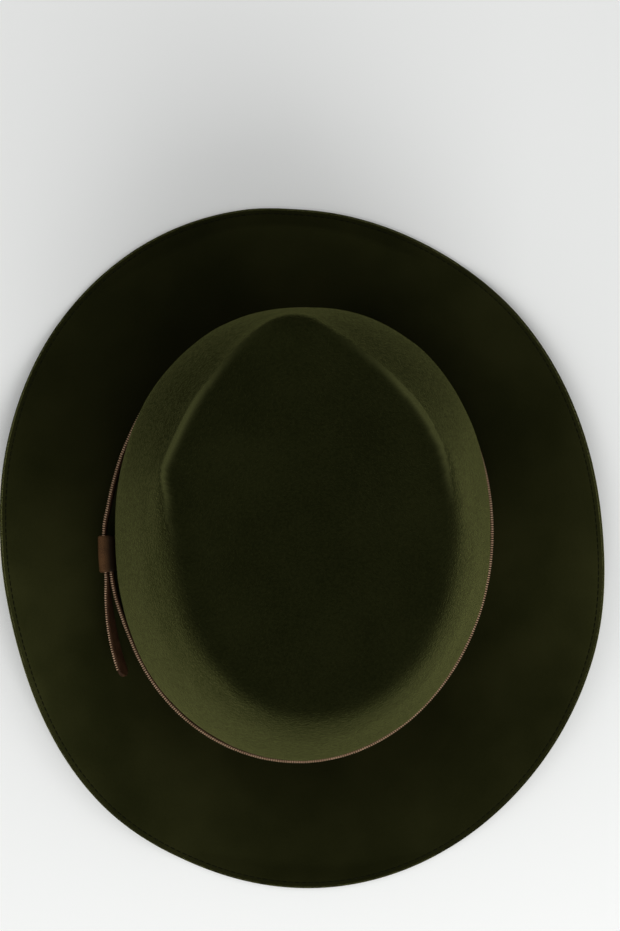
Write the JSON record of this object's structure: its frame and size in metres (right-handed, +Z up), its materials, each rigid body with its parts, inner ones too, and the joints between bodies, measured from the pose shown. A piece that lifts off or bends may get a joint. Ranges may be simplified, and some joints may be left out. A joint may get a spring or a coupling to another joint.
{
  "type": "felt hat",
  "caption": "Soft felt hat with a teardrop crease, a pinched front, a brim that dips at the front and rear, and a leather strap round its crown.",
  "frame": {"origin": "middle of the hat's outline in plan, on the surface that it stands on", "axes": "+Z up, the front of the hat faces -Y, +X is the wearer's left"},
  "size_m": [0.2751, 0.3129, 0.1211],
  "materials": {
    "felt": "matt brushed felt, dark olive",
    "strap_leather": "ribbed brown leather, satin",
    "keeper_leather": "plain brown leather, satin"
  },
  "bodies": {
    "root": {"felt_body": "felt", "band_strap": "strap_leather", "band_keeper": "keeper_leather"}
  },
  "joints": []
}
